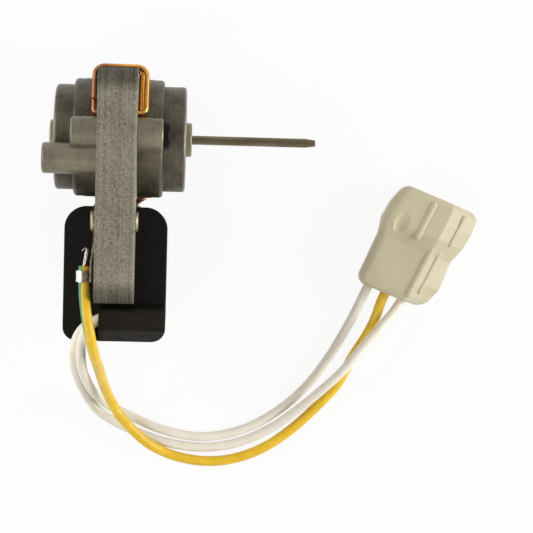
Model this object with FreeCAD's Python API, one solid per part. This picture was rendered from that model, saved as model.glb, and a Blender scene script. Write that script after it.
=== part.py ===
import FreeCAD, Part
import math
import os

from FreeCAD import Rotation, Vector

# A shaded-pole fan motor with its leads and plug, lying on its side. All lengths are in millimetres.
# X runs along the shaft towards its free end, and Z is up. The coil is on the -Y side.
# The origin is on the shaft axis, where the shaft leaves the front bracket.

# Lamination stack: two legs, a bore between two poles, and a window for the coil
STACK = 12.7
FRAME_WIDTH = 60.0
FRAME_TOP = 22.4
FRAME_BOTTOM = 53.0
FRAME_CORNER = 6.5
LEG_WIDTH = 14.0
WINDOW_TOP = 19.8
WINDOW_CORNER = 1.2
BORE_RADIUS = 13.2
RELIEF_WIDTH = 2.0
BRIDGE = 0.9

# Core bar that closes the legs inside the coil, and its dovetails
CORE_HEIGHT = 15.0
COIL_DROP = 44.2
DOVETAIL_DEPTH = 2.2
DOVETAIL_NECK = 7.0
DOVETAIL_FLARE = 0.8

# Bobbin, winding and tape
FLANGE_WIDTH = 33.4
FLANGE_HEIGHT = 43.9
FAR_FLANGE_DROP = 1.4
FLANGE_THICKNESS = 1.8
FLANGE_UPPER_CORNER = 7.2
FLANGE_LOWER_CORNER = 4.4
FLANGE_EDGE = 0.5
LEG_GAP = 0.3
BOBBIN_WALL = 1.0
CORE_CLEARANCE = 0.15
WINDING_WIDTH = 29.0
WINDING_HEIGHT = 38.4
WINDING_CORNER = 6.0
TAPE = 0.5

# Lead cover on the near flange
COVER_LEFT = 4.8
COVER_RIGHT = 16.2
COVER_TOP = 54.6
COVER_RIDGE = 61.6
COVER_BOTTOM = 65.8
COVER_HEIGHT = 8.3
COVER_SKIRT = 3.4
LEAD_ANGLE = 25.0
LEAD_SOCKET = 4.0
LEAD_Y = 58.6
LEAD_CLEARANCE = 0.1

# Die-cast brackets: a cup against the stack, a narrower nose and a bearing boss
CUP_RADIUS = 19.6
CUP_LENGTH = 8.35
CUP_LAND = 4.75
LAND_STEP = 0.15
NOSE_RADIUS = 17.4
NOSE_LENGTH = 7.4
BOSS_RADIUS = 5.65
BOSS_LENGTH = 1.95
BRACKET_WALL = 1.9
CAST_ROUND = 1.2
SHAFT_HOLE_RADIUS = 2.2
REAR_SHORTENING = 1.2

# Screw lugs and mounting posts on the brackets
LUG_SPACING = 48.0
LUG_RISE = 1.3
LUG_RADIUS = 5.45
LUG_LENGTH = 8.45
POST_DROP = 6.8
POST_RADIUS = 5.1
POST_LENGTH = 17.35
POST_HOLE_RADIUS = 1.65
POST_HOLE_DEPTH = 12.0
POST_RIB = 3.0

# Bearings, felts and retainers
SHAFT_RADIUS = 1.5
RUNNING_CLEARANCE = 0.02
BEARING_RADIUS = 4.5
BEARING_WIDTH = 5.5
POCKET_CLEARANCE = 0.05
HUB_WALL = 1.6
FELT_RADIUS = 6.9
FELT_WIDTH = 2.2
FELT_CLEARANCE = 0.1
RETAINER_SHEET = 0.5
RETAINER_HOLE_RADIUS = 3.1
RETAINER_SLOTS = 6
RETAINER_SLOT_WIDTH = 1.1

# Rotor
AIR_GAP = 0.4
ROTOR_LENGTH = 13.5
ROTOR_BARS = 14
BAR_RADIUS = 1.15
BAR_DEPTH = 0.45
BAR_SKEW = 12.0
END_RING_WIDTH = 2.5
END_RING_DEPTH = 4.0
SPACER_RADIUS = 2.6
WASHER_WIDTH = 0.5
END_PLAY = 0.2
SHAFT_FREE = 41.2
SHAFT_TAPER = 3.3
SHAFT_TIP_RADIUS = 1.05
SLINGER_WIDTH = 0.8
SLINGER_DEPTH = 0.3

# Assembly screws and leg rivets
SCREW_RADIUS = 2.0
SCREW_CLEARANCE = 0.2
THREAD_DEPTH = 6.0
THREAD_CLEARANCE = 0.03
SCREW_HEAD_RADIUS = 4.85
SCREW_HEAD_HEIGHT = 2.3
RECESS_WIDTH = 0.9
RECESS_SPAN = 4.4
RECESS_DEPTH = 1.3
RIVET_RADIUS = 2.0
RIVET_DROP = 26.6
RIVET_HEAD_RADIUS = 3.5
RIVET_HEAD_HEIGHT = 1.0

# Shading rings: two turns of copper wire round one tip of each pole
RING_WIRE_RADIUS = 0.8
RING_GAP = 0.2
RING_REAR = 7.75
RING_PITCH = 1.65
UPPER_RING_CORNER = 3.2
LOWER_RING_CORNER = 2.2
RING_SLOT_ROUND = 1.0
RING_SLOT_CLEARANCE = 0.2
UPPER_SLOT_Z, UPPER_SLOT_Y = 19.3, 7.6
UPPER_EDGE_Z, UPPER_EDGE_Y = 14.5, 22.85
LOWER_SLOT_Z, LOWER_SLOT_Y = -18.2, -14.2
LOWER_EDGE_Z, LOWER_EDGE_Y = -14.9, -21.7
UPPER_NOTCH_DEPTH = 1.6
LOWER_NOTCH_DEPTH = 0.6
SLIT_WIDTH = 0.8

# Earth terminal on the rear face of the near leg
EARTH_SHEET = 0.6
TONGUE_RADIUS = 5.2
EARTH_STRIP_WIDTH = 4.6
EARTH_WIRE_RADIUS = 1.75
EARTH_OFFSET = 9.7
EARTH_Z = 23.5
CRIMP_TOP = 42.6
CRIMP_BOTTOM = 46.2
CRIMP_CLEARANCE = 0.12
CONDUCTOR_RADIUS = 0.7
CONDUCTOR_TOP = 34.6
STUB_TOP = 41.2

# White leads
LEAD_RADIUS = 1.6
LEAD_SPACING = 3.6

# Plug housing and contacts, in its own frame: U across, V along towards the mating end, W up
PLUG_CORNER_X, PLUG_CORNER_Y = 58.9, -47.4
PLUG_TURN = -26.0
PLUG_LENGTH = 37.8
PLUG_SLANT = 0.08
PLUG_HEIGHT = 12.6
PLUG_HEAD_HEIGHT = 14.6
PLUG_FACE = 17.6
PLUG_RAIL = 27.0
PLUG_ROUND = 1.6
PLUG_LEFT_ROUND = 3.0
PLUG_LEAN = 1.4
RIDGE_RADIUS = 1.3
RIDGE_SINK = 0.65
HOLLOW_WIDTH = 4.6
HOLLOW_LENGTH = 10.0
HOLLOW_DEPTH = 0.8
HOLLOW_TILT = 8.0
WAY_PITCH = 6.5
WAY_FIRST = 4.7
WAY_HEIGHT = 5.6
WAY_CLEARANCE = 0.2
CONTACT_START = 6.0
SOCKET_DEPTH = 13.0
SOCKET_WALL = 1.9
CONTACT_RADIUS = 1.8
PIN_RADIUS = 1.05
PIN_LENGTH = 11.0

# Routes of the leads between their ends, as points that the arcs round off
LEFT_LEAD_ROUTE = [(-33.0, -61.9, 21.2), (-34.4, -66.6, 21.0), (-34.5, -72.6, 17.0), (-34.3, -77.0, 7.6),
                   (-33.9, -80.8, -3.4), (-32.7, -85.8, -14.6), (-30.6, -90.2, -24.0), (-26.6, -94.0, -28.35),
                   (-18.9, -97.6, -28.35), (-8.4, -102.2, -28.35), (3.0, -104.7, -28.35),
                   (13.6, -104.0, -28.35), (24.1, -100.5, -28.35), (34.2, -94.1, -28.35),
                   (42.9, -86.2, -28.35), (50.4, -75.9, -28.35), (55.5, -66.6, -27.75), (59.4, -58.6, -26.4)]
RIGHT_LEAD_ROUTE = [(-34.1, -61.6, 17.8), (-36.4, -65.9, 18.0), (-37.0, -71.2, 14.4), (-37.2, -75.2, 6.0),
                    (-37.1, -79.2, -5.0), (-36.2, -84.6, -16.0), (-34.2, -90.4, -25.0),
                    (-30.4, -96.2, -28.35), (-23.6, -100.2, -28.35), (-14.2, -104.2, -28.35),
                    (-4.7, -107.3, -28.35), (7.3, -108.6, -28.35), (19.3, -106.7, -28.35),
                    (30.5, -101.3, -27.75), (39.7, -94.0, -25.5), (48.0, -86.1, -22.2),
                    (55.1, -79.2, -20.9), (60.8, -71.5, -20.9), (67.4, -64.1, -22.0)]
EARTH_ROUTE = [(-33.75, -48.4, 23.5), (-32.7, -56.0, 27.4), (-31.3, -62.6, 27.8), (-30.3, -68.4, 24.2),
               (-29.5, -72.7, 17.0), (-28.9, -76.6, 6.0), (-28.0, -83.0, -7.0), (-26.4, -89.1, -17.0),
               (-23.3, -95.3, -21.2), (-18.6, -100.9, -21.8), (-11.8, -107.5, -25.6), (-2.5, -111.9, -28.2),
               (8.5, -113.5, -28.2), (19.4, -112.0, -28.2), (30.0, -107.4, -28.2), (39.7, -100.0, -28.2),
               (48.2, -91.5, -28.2), (54.7, -84.3, -28.2), (58.7, -75.0, -28.2), (62.4, -67.9, -27.9),
               (65.9, -60.4, -26.4)]

# Places that follow from the sizes
BRACKET_LENGTH = CUP_LENGTH + NOSE_LENGTH + BOSS_LENGTH
MID_X = -(STACK / 2 + BRACKET_LENGTH)
FRONT_FACE = MID_X + STACK / 2
REAR_FACE = MID_X - STACK / 2
FLOOR = -FRAME_WIDTH / 2
WINDOW_HALF = FRAME_WIDTH / 2 - LEG_WIDTH
FLANGE_FACE = WINDOW_HALF - LEG_GAP
POCKET_END = BRACKET_LENGTH - 1.4
BEARING_START = POCKET_END - BEARING_WIDTH
HUB_START = BEARING_START - 1.9
FELT_FLOOR = HUB_START + 3.05
FELT_START = FELT_FLOOR - FELT_WIDTH
ROTOR_RADIUS = BORE_RADIUS - AIR_GAP
ROTOR_END = (ROTOR_LENGTH - STACK) / 2
WASHER_END = BEARING_START - END_PLAY
LUG_Z = LUG_SPACING / 2
AXIS_X = Vector(1, 0, 0)


def rounded_path(points, radii, closed=False):
    """A wire of straight runs through the points, with a tangent arc of the given radius at each corner."""
    points = [Vector(*point) for point in points]
    count = len(points)
    starts, ends, arcs = list(points), list(points), {}
    for i in range(count):
        if not closed and i in (0, count - 1) or radii[i] <= 0:
            continue
        back = (points[i - 1] - points[i]).normalize()
        ahead = (points[(i + 1) % count] - points[i]).normalize()
        half_turn = (math.pi - back.getAngle(ahead)) / 2
        trim = radii[i] * math.tan(half_turn)
        inward = (back + ahead).normalize()
        middle = points[i] + inward * (radii[i] / math.cos(half_turn) - radii[i])
        ends[i], starts[i] = points[i] + back * trim, points[i] + ahead * trim
        arcs[i] = Part.Arc(ends[i], middle, starts[i]).toShape()
    edges = []
    for i in range(count if closed else count - 1):
        following = (i + 1) % count
        if (ends[following] - starts[i]).Length > 1e-6:
            edges.append(Part.LineSegment(starts[i], ends[following]).toShape())
        if following in arcs:
            edges.append(arcs[following])
    return Part.Wire(edges)


def outline(points, to_space):
    """A closed face from (a, b) or (a, b, corner radius) points, placed in space by to_space(a, b)."""
    corners = [to_space(point[0], point[1]) for point in points]
    radii = [point[2] if len(point) > 2 else 0 for point in points]
    return Part.Face(rounded_path(corners, radii, closed=True))


def turned(points, angle=360):
    """A solid of revolution about X from (x, radius) points."""
    return outline(points, lambda x, r: (x, r, 0)).revolve(Vector(0, 0, 0), AXIS_X, angle)


def plate(points, z_low, z_high):
    """An outline in X and Y, extruded along Z."""
    return outline(points, lambda x, y: (x, y, z_low)).extrude(Vector(0, 0, z_high - z_low))


def lamination(points, x_low, x_high):
    """An outline in Z and Y, extruded along X."""
    return outline(points, lambda z, y: (x_low, y, z)).extrude(Vector(x_high - x_low, 0, 0))


def rod(radius, x_low, x_high, y=0, z=0):
    return Part.makeCylinder(radius, x_high - x_low, Vector(x_low, y, z), AXIS_X)


def rectangle(width, height, radius, middle=(0, 0)):
    """Corner points of a rectangle with rounded corners."""
    a, b = middle
    half_width, half_height = width / 2, height / 2
    signs = ((-1, -1), (1, -1), (1, 1), (-1, 1))
    return [(a + s * half_width, b + t * half_height, radius) for s, t in signs]


def tube(points, radii, radius):
    """A round wire swept along straight runs and tangent arcs."""
    path = rounded_path(points, radii)
    start, ahead = Vector(*points[0]), Vector(*points[1])
    section = Part.Wire(Part.makeCircle(radius, start, ahead - start))
    return path.makePipeShell([section], True, False), path


def at_front(shape):
    """Moves a shape whose x counts outward from the stack to the front of the motor."""
    return shape.translated(Vector(FRONT_FACE, 0, 0))


def at_rear(shape):
    """The same for the rear, mirrored."""
    return shape.mirror(Vector(0, 0, 0), AXIS_X).translated(Vector(REAR_FACE, 0, 0))


def in_rear_hub(shape):
    """The same for what sits in the rear bracket's hub, which is shorter than the front one's."""
    return at_rear(shape).translated(Vector(REAR_SHORTENING, 0, 0))


def both_sides(shape):
    """A shape with its mirror image on the other side of the shaft."""
    return shape.fuse(shape.mirror(Vector(0, 0, 0), Vector(0, 0, 1)))


def ring_plane(slot_z, slot_y, edge_z, edge_y):
    """The plane of a shading ring: its slot, the way to the edge, the way across its turns, and its reach."""
    slot = Vector(MID_X, slot_y, slot_z)
    edge = Vector(MID_X, edge_y, edge_z)
    along = (edge - slot).normalize()
    across = AXIS_X.cross(along)
    return slot, along, across, (edge - slot).Length


def ring_slot(slot_z, slot_y, edge_z, edge_y, side):
    """The slot that holds a ring's two turns, and the slit from it to the bore."""
    slot, along, across, _ = ring_plane(slot_z, slot_y, edge_z, edge_y)
    half_long = RING_PITCH / 2 + RING_WIRE_RADIUS + RING_SLOT_CLEARANCE
    half_short = RING_WIRE_RADIUS + RING_SLOT_CLEARANCE
    middle = slot + across * (side * RING_PITCH / 2)
    signs = ((-1, -1), (1, -1), (1, 1), (-1, 1))
    corners = [middle + across * (s * half_long) + along * (t * half_short) for s, t in signs]
    points = [(corner.z, corner.y, half_short * 0.9) for corner in corners]
    opening = lamination(points, REAR_FACE - 1, FRONT_FACE + 1)
    inward = Vector(0, -slot.y, -slot.z).normalize()
    aside = AXIS_X.cross(inward) * (SLIT_WIDTH / 2)
    start, end = slot, inward * (-BORE_RADIUS + 0.5)
    slit = [start + aside, end + aside, end - aside, start - aside]
    return opening.fuse(lamination([(point.z, point.y) for point in slit], REAR_FACE - 1, FRONT_FACE + 1))


def edge_notch(edge_z, surface_y, depth):
    """The notch in an edge of the stack where a ring's two turns cross it."""
    half = RING_PITCH / 2 + RING_WIRE_RADIUS + 2 * RING_GAP
    middle = (edge_z + RING_PITCH / 2, surface_y)
    return lamination(rectangle(2 * half, 2 * depth, 0.5, middle), REAR_FACE - 1, FRONT_FACE + 1)


def stator_core():
    """The U-shaped stack with its bore, coil window, shading slots and screw and rivet holes."""
    half = FRAME_WIDTH / 2
    window_y, core_y = -WINDOW_TOP, -COIL_DROP
    outer = [(-half, FRAME_TOP, FRAME_CORNER), (half, FRAME_TOP, FRAME_CORNER),
             (half, -FRAME_BOTTOM, FRAME_CORNER), (WINDOW_HALF, -FRAME_BOTTOM, 0.5),
             (WINDOW_HALF, window_y, WINDOW_CORNER), (-WINDOW_HALF, window_y, WINDOW_CORNER),
             (-WINDOW_HALF, -FRAME_BOTTOM, 0.5), (-half, -FRAME_BOTTOM, FRAME_CORNER)]
    core = lamination(outer, REAR_FACE, FRONT_FACE)
    core = core.cut(rod(BORE_RADIUS, REAR_FACE - 1, FRONT_FACE + 1))
    relief_reach = FRAME_TOP - BRIDGE
    relief = lamination(rectangle(RELIEF_WIDTH, relief_reach, 0.4, (0, relief_reach / 2)),
                        REAR_FACE - 1, FRONT_FACE + 1)
    lower_reach = WINDOW_TOP - BRIDGE
    lower_relief = lamination(rectangle(RELIEF_WIDTH, lower_reach, 0.4, (0, -lower_reach / 2)),
                              REAR_FACE - 1, FRONT_FACE + 1)
    core = core.cut([relief, lower_relief])
    core = core.cut(ring_slot(UPPER_SLOT_Z, UPPER_SLOT_Y, UPPER_EDGE_Z, UPPER_EDGE_Y, 1))
    core = core.cut(ring_slot(LOWER_SLOT_Z, LOWER_SLOT_Y, LOWER_EDGE_Z, LOWER_EDGE_Y, -1))
    core = core.cut(edge_notch(UPPER_EDGE_Z, FRAME_TOP, UPPER_NOTCH_DEPTH))
    core = core.cut(edge_notch(LOWER_EDGE_Z, -WINDOW_TOP, LOWER_NOTCH_DEPTH))
    screw_hole = rod(SCREW_RADIUS + SCREW_CLEARANCE, REAR_FACE - 1, FRONT_FACE + 1, LUG_RISE, LUG_Z)
    rivet_hole = rod(RIVET_RADIUS, REAR_FACE - 1, FRONT_FACE + 1, -RIVET_DROP, half - LEG_WIDTH / 2)
    core = core.cut([both_sides(screw_hole), both_sides(rivet_hole)])
    return core.cut(core_bar_outline(core_y))


def core_bar_outline(core_y):
    """The core bar as the legs see it: a bar with a dovetail at each end."""
    half_neck = DOVETAIL_NECK / 2
    tip_z, root_z = WINDOW_HALF + DOVETAIL_DEPTH, WINDOW_HALF
    half_height = CORE_HEIGHT / 2
    quarter = [(root_z, core_y - half_height), (root_z, core_y - half_neck),
               (tip_z, core_y - half_neck - DOVETAIL_FLARE), (tip_z, core_y + half_neck + DOVETAIL_FLARE),
               (root_z, core_y + half_neck), (root_z, core_y + half_height)]
    mirrored = [(-z, y) for z, y in reversed(quarter)]
    return lamination(quarter + mirrored, REAR_FACE, FRONT_FACE)


def coil_core():
    return core_bar_outline(-COIL_DROP)


def flange(drop=0):
    """One flange at the near end, rounded outside; drop lowers its upper edge."""
    half_width, half_height = FLANGE_WIDTH / 2, FLANGE_HEIGHT / 2
    middle = -COIL_DROP
    points = [(MID_X - half_width, middle - half_height, FLANGE_LOWER_CORNER),
              (MID_X + half_width, middle - half_height, FLANGE_LOWER_CORNER),
              (MID_X + half_width, middle + half_height - drop, FLANGE_UPPER_CORNER),
              (MID_X - half_width, middle + half_height - drop, FLANGE_UPPER_CORNER)]
    shape = plate(points, FLANGE_FACE - FLANGE_THICKNESS, FLANGE_FACE)
    outer_face = max(shape.Faces, key=lambda face: face.CenterOfMass.z)
    return shape.makeFillet(FLANGE_EDGE, outer_face.Edges)


def bobbin():
    """Two flanges on a square tube round the core bar."""
    tube_width = STACK + 2 * (CORE_CLEARANCE + BOBBIN_WALL)
    tube_height = CORE_HEIGHT + 2 * (CORE_CLEARANCE + BOBBIN_WALL)
    middle = (MID_X, -COIL_DROP)
    far_flange = flange(FAR_FLANGE_DROP).mirror(Vector(0, 0, 0), Vector(0, 0, 1))
    body = plate(rectangle(tube_width, tube_height, 1.0, middle), -FLANGE_FACE, FLANGE_FACE)
    body = body.fuse([flange(), far_flange])
    hole = plate(rectangle(STACK + 2 * CORE_CLEARANCE, CORE_HEIGHT + 2 * CORE_CLEARANCE, 0.3, middle),
                 -WINDOW_HALF, WINDOW_HALF)
    return body.cut(hole).removeSplitter()


def winding():
    """The enamelled copper winding between the flanges."""
    reach = FLANGE_FACE - FLANGE_THICKNESS
    middle = (MID_X, -COIL_DROP)
    block = plate(rectangle(WINDING_WIDTH, WINDING_HEIGHT, WINDING_CORNER, middle), -reach, reach)
    tube_width = STACK + 2 * (CORE_CLEARANCE + BOBBIN_WALL)
    tube_height = CORE_HEIGHT + 2 * (CORE_CLEARANCE + BOBBIN_WALL)
    return block.cut(plate(rectangle(tube_width, tube_height, 1.0, middle), -reach - 1, reach + 1))


def coil_tape():
    """Two layers of tape round the winding."""
    reach = FLANGE_FACE - FLANGE_THICKNESS - 0.1
    middle = (MID_X, -COIL_DROP)
    taped = rectangle(WINDING_WIDTH + 2 * TAPE, WINDING_HEIGHT + 2 * TAPE, WINDING_CORNER + TAPE, middle)
    outer = plate(taped, -reach, reach)
    return outer.cut(plate(rectangle(WINDING_WIDTH, WINDING_HEIGHT, WINDING_CORNER, middle),
                           -reach - 1, reach + 1))


def lead_heights():
    """Heights of the two white leads where they leave the cover, the lower one first."""
    low = FLANGE_FACE + 0.2 + LEAD_RADIUS
    return low, low + LEAD_SPACING


def lead_way():
    """Where the leads cross the cover's end face, and their direction there."""
    exit_point = Vector(MID_X - COVER_LEFT, -LEAD_Y, 0)
    angle = math.radians(LEAD_ANGLE)
    return exit_point, Vector(-math.cos(angle), -math.sin(angle), 0)


def lead_cover():
    """The cover over the lead joints, with a sloping front and two slanted lead sockets."""
    top = FLANGE_FACE + COVER_HEIGHT
    points = [(-COVER_TOP, FLANGE_FACE), (-COVER_TOP, top - 0.5, 1.4), (-COVER_RIDGE, top, 0.5),
              (-COVER_BOTTOM, FLANGE_FACE + COVER_SKIRT, 1.0), (-COVER_BOTTOM, FLANGE_FACE)]
    face = outline(points, lambda y, z: (MID_X - COVER_LEFT, y, z))
    cover = face.extrude(Vector(COVER_LEFT + COVER_RIGHT, 0, 0))
    plan = [(MID_X - COVER_LEFT, -COVER_BOTTOM), (MID_X + COVER_RIGHT, -COVER_BOTTOM, FLANGE_LOWER_CORNER),
            (MID_X + COVER_RIGHT, -COVER_TOP), (MID_X - COVER_LEFT, -COVER_TOP)]
    cover = cover.common(plate(plan, FLANGE_FACE, top))
    exit_point, direction = lead_way()
    for height in lead_heights():
        start = exit_point - direction * LEAD_SOCKET + Vector(0, 0, height)
        cover = cover.cut(Part.makeCylinder(LEAD_RADIUS + LEAD_CLEARANCE, LEAD_SOCKET + 4, start, direction))
    return cover


def cup_points(hole_radius, shortening=0):
    """Half section of a bracket from the stack outward, as (x, radius, corner radius)."""
    nose_end = CUP_LENGTH + NOSE_LENGTH - shortening
    boss_end, pocket_end = BRACKET_LENGTH - shortening, POCKET_END - shortening
    felt_floor, hub_start = FELT_FLOOR - shortening, HUB_START - shortening
    cup_inner, nose_inner = CUP_RADIUS - BRACKET_WALL, NOSE_RADIUS - BRACKET_WALL
    pocket = BEARING_RADIUS + POCKET_CLEARANCE
    counterbore = FELT_RADIUS + FELT_CLEARANCE
    hub = counterbore + HUB_WALL
    land = CUP_RADIUS - LAND_STEP
    return [(0, CUP_RADIUS), (CUP_LAND, CUP_RADIUS), (CUP_LAND, land),
            (CUP_LENGTH, land, CAST_ROUND), (CUP_LENGTH, NOSE_RADIUS),
            (nose_end, NOSE_RADIUS, CAST_ROUND), (nose_end, BOSS_RADIUS),
            (boss_end, BOSS_RADIUS, 0.6), (boss_end, hole_radius),
            (pocket_end, hole_radius), (pocket_end, pocket), (felt_floor, pocket),
            (felt_floor, counterbore), (hub_start, counterbore), (hub_start, hub),
            (nose_end - BRACKET_WALL, hub), (nose_end - BRACKET_WALL, nose_inner),
            (CUP_LENGTH - BRACKET_WALL, nose_inner), (CUP_LENGTH - BRACKET_WALL, cup_inner),
            (0, cup_inner)]


def post(radius, length, y, inner_radius):
    """A round lug beside the cup, with straight sides that run into it, stepped like the cup."""
    lip = CAST_ROUND * 0.7
    land = radius - LAND_STEP
    body = turned([(0, 0), (0, radius), (CUP_LAND, radius), (CUP_LAND, land), (length, land, lip),
                   (length, 0)])
    body = body.translated(Vector(0, y, LUG_Z))
    root_end = min(length, CUP_LENGTH) - lip
    webs = []
    for x_low, x_high, half in ((0, CUP_LAND, radius), (CUP_LAND, root_end, land)):
        reach = LUG_Z - inner_radius * 0.7
        webs.append(Part.makeBox(x_high - x_low, 2 * half, reach, Vector(x_low, y - half, LUG_Z - reach)))
    clear = rod(inner_radius, -1, length + 1)
    return body.fuse(webs).cut(clear)


def front_bracket():
    """Front casting: stepped cup, bearing hub, and two lugs that the screw heads clamp."""
    cup = turned(cup_points(SHAFT_HOLE_RADIUS))
    lug = post(LUG_RADIUS, LUG_LENGTH, LUG_RISE, CUP_RADIUS - BRACKET_WALL / 2)
    casting = cup.fuse(both_sides(lug)).removeSplitter()
    hole = rod(SCREW_RADIUS + SCREW_CLEARANCE, -1, LUG_LENGTH + 1, LUG_RISE, LUG_Z)
    return at_front(casting.cut(both_sides(hole)))


def rear_bracket():
    """Rear casting: a shorter cup, closed at its end, with tapped screw lugs and long mounting posts."""
    cup = turned(cup_points(0, REAR_SHORTENING))
    inner_radius = CUP_RADIUS - BRACKET_WALL / 2
    lug = post(LUG_RADIUS, LUG_LENGTH, LUG_RISE, inner_radius)
    mount_post = post(POST_RADIUS, POST_LENGTH, -POST_DROP, inner_radius)
    rib_root = NOSE_RADIUS - 4
    rib = Part.makeBox(NOSE_LENGTH - REAR_SHORTENING - 2 * CAST_ROUND, POST_RIB, LUG_Z - rib_root,
                       Vector(CUP_LENGTH, -POST_DROP - POST_RIB / 2, rib_root))
    rib = rib.cut(rod(NOSE_RADIUS - BRACKET_WALL / 2, 0, BRACKET_LENGTH))
    casting = cup.fuse([both_sides(lug), both_sides(mount_post), both_sides(rib)]).removeSplitter()
    screw_hole = rod(SCREW_RADIUS + THREAD_CLEARANCE, -1, THREAD_DEPTH + 1, LUG_RISE, LUG_Z)
    mount_hole = rod(POST_HOLE_RADIUS, POST_LENGTH - POST_HOLE_DEPTH, POST_LENGTH + 1, -POST_DROP, LUG_Z)
    return at_rear(casting.cut([both_sides(screw_hole), both_sides(mount_hole)]))


def bearing():
    """Self-aligning sintered bearing: a ball cut flat at both ends, with the shaft bore."""
    middle = BEARING_START + BEARING_WIDTH / 2
    ball = Part.makeSphere(BEARING_RADIUS, Vector(middle, 0, 0))
    ball = ball.common(rod(BEARING_RADIUS + 1, BEARING_START, POCKET_END))
    return ball.cut(rod(SHAFT_RADIUS + RUNNING_CLEARANCE, BEARING_START - 1, POCKET_END + 1))


def oil_felt():
    """Felt ring round the inner half of the bearing."""
    ring = rod(FELT_RADIUS, FELT_START, FELT_FLOOR)
    return ring.cut(rod(BEARING_RADIUS + FELT_CLEARANCE, FELT_START - 1, FELT_FLOOR + 1))


def bearing_retainer():
    """Pressed spring cap that holds the felt, with fingers dished in to the bearing."""
    tip = BEARING_START - 0.02
    rim = FELT_START
    points = [(rim - RETAINER_SHEET, FELT_RADIUS + FELT_CLEARANCE), (rim, FELT_RADIUS + FELT_CLEARANCE),
              (rim, BEARING_RADIUS), (tip, RETAINER_HOLE_RADIUS + 0.3), (tip, RETAINER_HOLE_RADIUS),
              (tip - RETAINER_SHEET, RETAINER_HOLE_RADIUS), (rim - RETAINER_SHEET, BEARING_RADIUS - 0.3)]
    cap = turned(points)
    slot_length = BEARING_RADIUS + 0.9 - RETAINER_HOLE_RADIUS
    slot = Part.makeBox(4, RETAINER_SLOT_WIDTH, slot_length + 1,
                        Vector(rim - 2, -RETAINER_SLOT_WIDTH / 2, RETAINER_HOLE_RADIUS - 1))
    slots = [slot.rotated(Vector(0, 0, 0), AXIS_X, i * 360 / RETAINER_SLOTS) for i in range(RETAINER_SLOTS)]
    return cap.cut(slots)


def thrust_washer():
    washer = rod(SPACER_RADIUS + 0.1, WASHER_END - WASHER_WIDTH, WASHER_END)
    return washer.cut(rod(SHAFT_RADIUS, WASHER_END - WASHER_WIDTH - 1, WASHER_END + 1))


def rotor_spacer(shortening=0):
    """Sleeve on the shaft between the rotor and a thrust washer."""
    sleeve = rod(SPACER_RADIUS, ROTOR_END, WASHER_END - WASHER_WIDTH - shortening)
    return sleeve.cut(rod(SHAFT_RADIUS, ROTOR_END - 1, WASHER_END))


def shaft():
    """Ground shaft with a slinger groove behind the front bearing face and a tapered tip."""
    rear_end = REAR_FACE - (POCKET_END - REAR_SHORTENING - 0.3)
    taper_start = SHAFT_FREE - SHAFT_TAPER
    groove = SHAFT_RADIUS - SLINGER_DEPTH
    return turned([(rear_end, 0), (rear_end, SHAFT_RADIUS, 0.3), (-SLINGER_WIDTH, SHAFT_RADIUS),
                   (-SLINGER_WIDTH, groove), (0, groove), (0, SHAFT_RADIUS), (taper_start, SHAFT_RADIUS),
                   (SHAFT_FREE, SHAFT_TIP_RADIUS, 0.2), (SHAFT_FREE, 0)])


def rotor_bar(radius):
    """One skewed rotor bar, as a rod that leans round the rotor from one end ring to the other."""
    reach = ROTOR_RADIUS - BAR_DEPTH - BAR_RADIUS
    half_skew = math.radians(BAR_SKEW) / 2
    x_low, x_high = MID_X - ROTOR_LENGTH / 2, MID_X + ROTOR_LENGTH / 2
    start = Vector(x_low, -reach * math.sin(half_skew), reach * math.cos(half_skew))
    end = Vector(x_high, reach * math.sin(half_skew), reach * math.cos(half_skew))
    lean = (end - start).normalize()
    bar = Part.makeCylinder(radius, (end - start).Length + 4, start - lean * 2, lean)
    return bar.common(rod(ROTOR_RADIUS, x_low, x_high))


def rotor_bars():
    bar = rotor_bar(BAR_RADIUS)
    return [bar.rotated(Vector(0, 0, 0), AXIS_X, i * 360 / ROTOR_BARS) for i in range(ROTOR_BARS)]


def rotor_stack():
    stack = rod(ROTOR_RADIUS, MID_X - ROTOR_LENGTH / 2, MID_X + ROTOR_LENGTH / 2)
    stack = stack.cut(rod(SHAFT_RADIUS, MID_X - ROTOR_LENGTH, MID_X + ROTOR_LENGTH))
    return stack.cut(rotor_bars())


def rotor_cage():
    """Die-cast aluminium cage: skewed bars joined by an end ring at each face of the rotor."""
    outer = ROTOR_RADIUS - 0.3
    ring = turned([(ROTOR_END, outer - END_RING_DEPTH), (ROTOR_END, outer),
                   (ROTOR_END + END_RING_WIDTH, outer - 0.4),
                   (ROTOR_END + END_RING_WIDTH, outer - END_RING_DEPTH + 0.4)])
    return at_front(ring).fuse([at_rear(ring)] + rotor_bars())


def assembly_screws():
    """Two long pan-head screws through the front lugs and the stack into the rear lugs."""
    seat = FRONT_FACE + LUG_LENGTH
    head = turned([(seat, 0), (seat, SCREW_HEAD_RADIUS, 0.3),
                   (seat + SCREW_HEAD_HEIGHT, SCREW_HEAD_RADIUS - 0.5, 1.3), (seat + SCREW_HEAD_HEIGHT, 0)])
    shank = rod(SCREW_RADIUS, REAR_FACE - THREAD_DEPTH, seat)
    bottom = seat + SCREW_HEAD_HEIGHT - RECESS_DEPTH
    blades = [Part.makeBox(RECESS_DEPTH + 1, a, b, Vector(bottom, -a / 2, -b / 2))
              for a, b in ((RECESS_WIDTH, RECESS_SPAN), (RECESS_SPAN, RECESS_WIDTH))]
    screw = head.fuse(shank).cut(blades).translated(Vector(0, LUG_RISE, LUG_Z))
    return Part.makeCompound([screw, screw.mirror(Vector(0, 0, 0), Vector(0, 0, 1))])


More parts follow.
